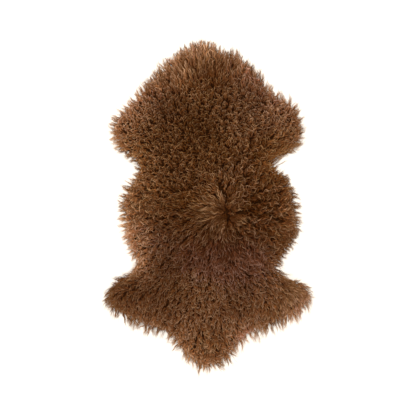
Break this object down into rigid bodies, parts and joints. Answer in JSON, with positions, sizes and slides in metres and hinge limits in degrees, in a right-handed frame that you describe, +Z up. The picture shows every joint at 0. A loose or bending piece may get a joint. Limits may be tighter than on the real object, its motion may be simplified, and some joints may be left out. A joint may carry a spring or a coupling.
{
  "type": "sheepskin rug",
  "caption": "Whole sheepskin rug of long, curly brown wool, laid flat: pointed neck, fore-leg and hind-leg lobes, tapered tail, with loose locks all around its rim.",
  "frame": {"origin": "below the middle of the pelt, on the surface it lies on: the middle of its bounding box's bottom", "axes": "+Y along the spine towards the neck, +Z up out of the wool, +X to the right seen from above with the neck at the top"},
  "size_m": [0.561, 0.9, 0.0476],
  "materials": {
    "wool": "long curly wool, soft and slightly glossy along its locks, darker at its roots and lighter at its tips",
    "skin": "tanned skin, matt suede"
  },
  "bodies": {
    "root": {"pelt": "wool"}
  },
  "joints": []
}
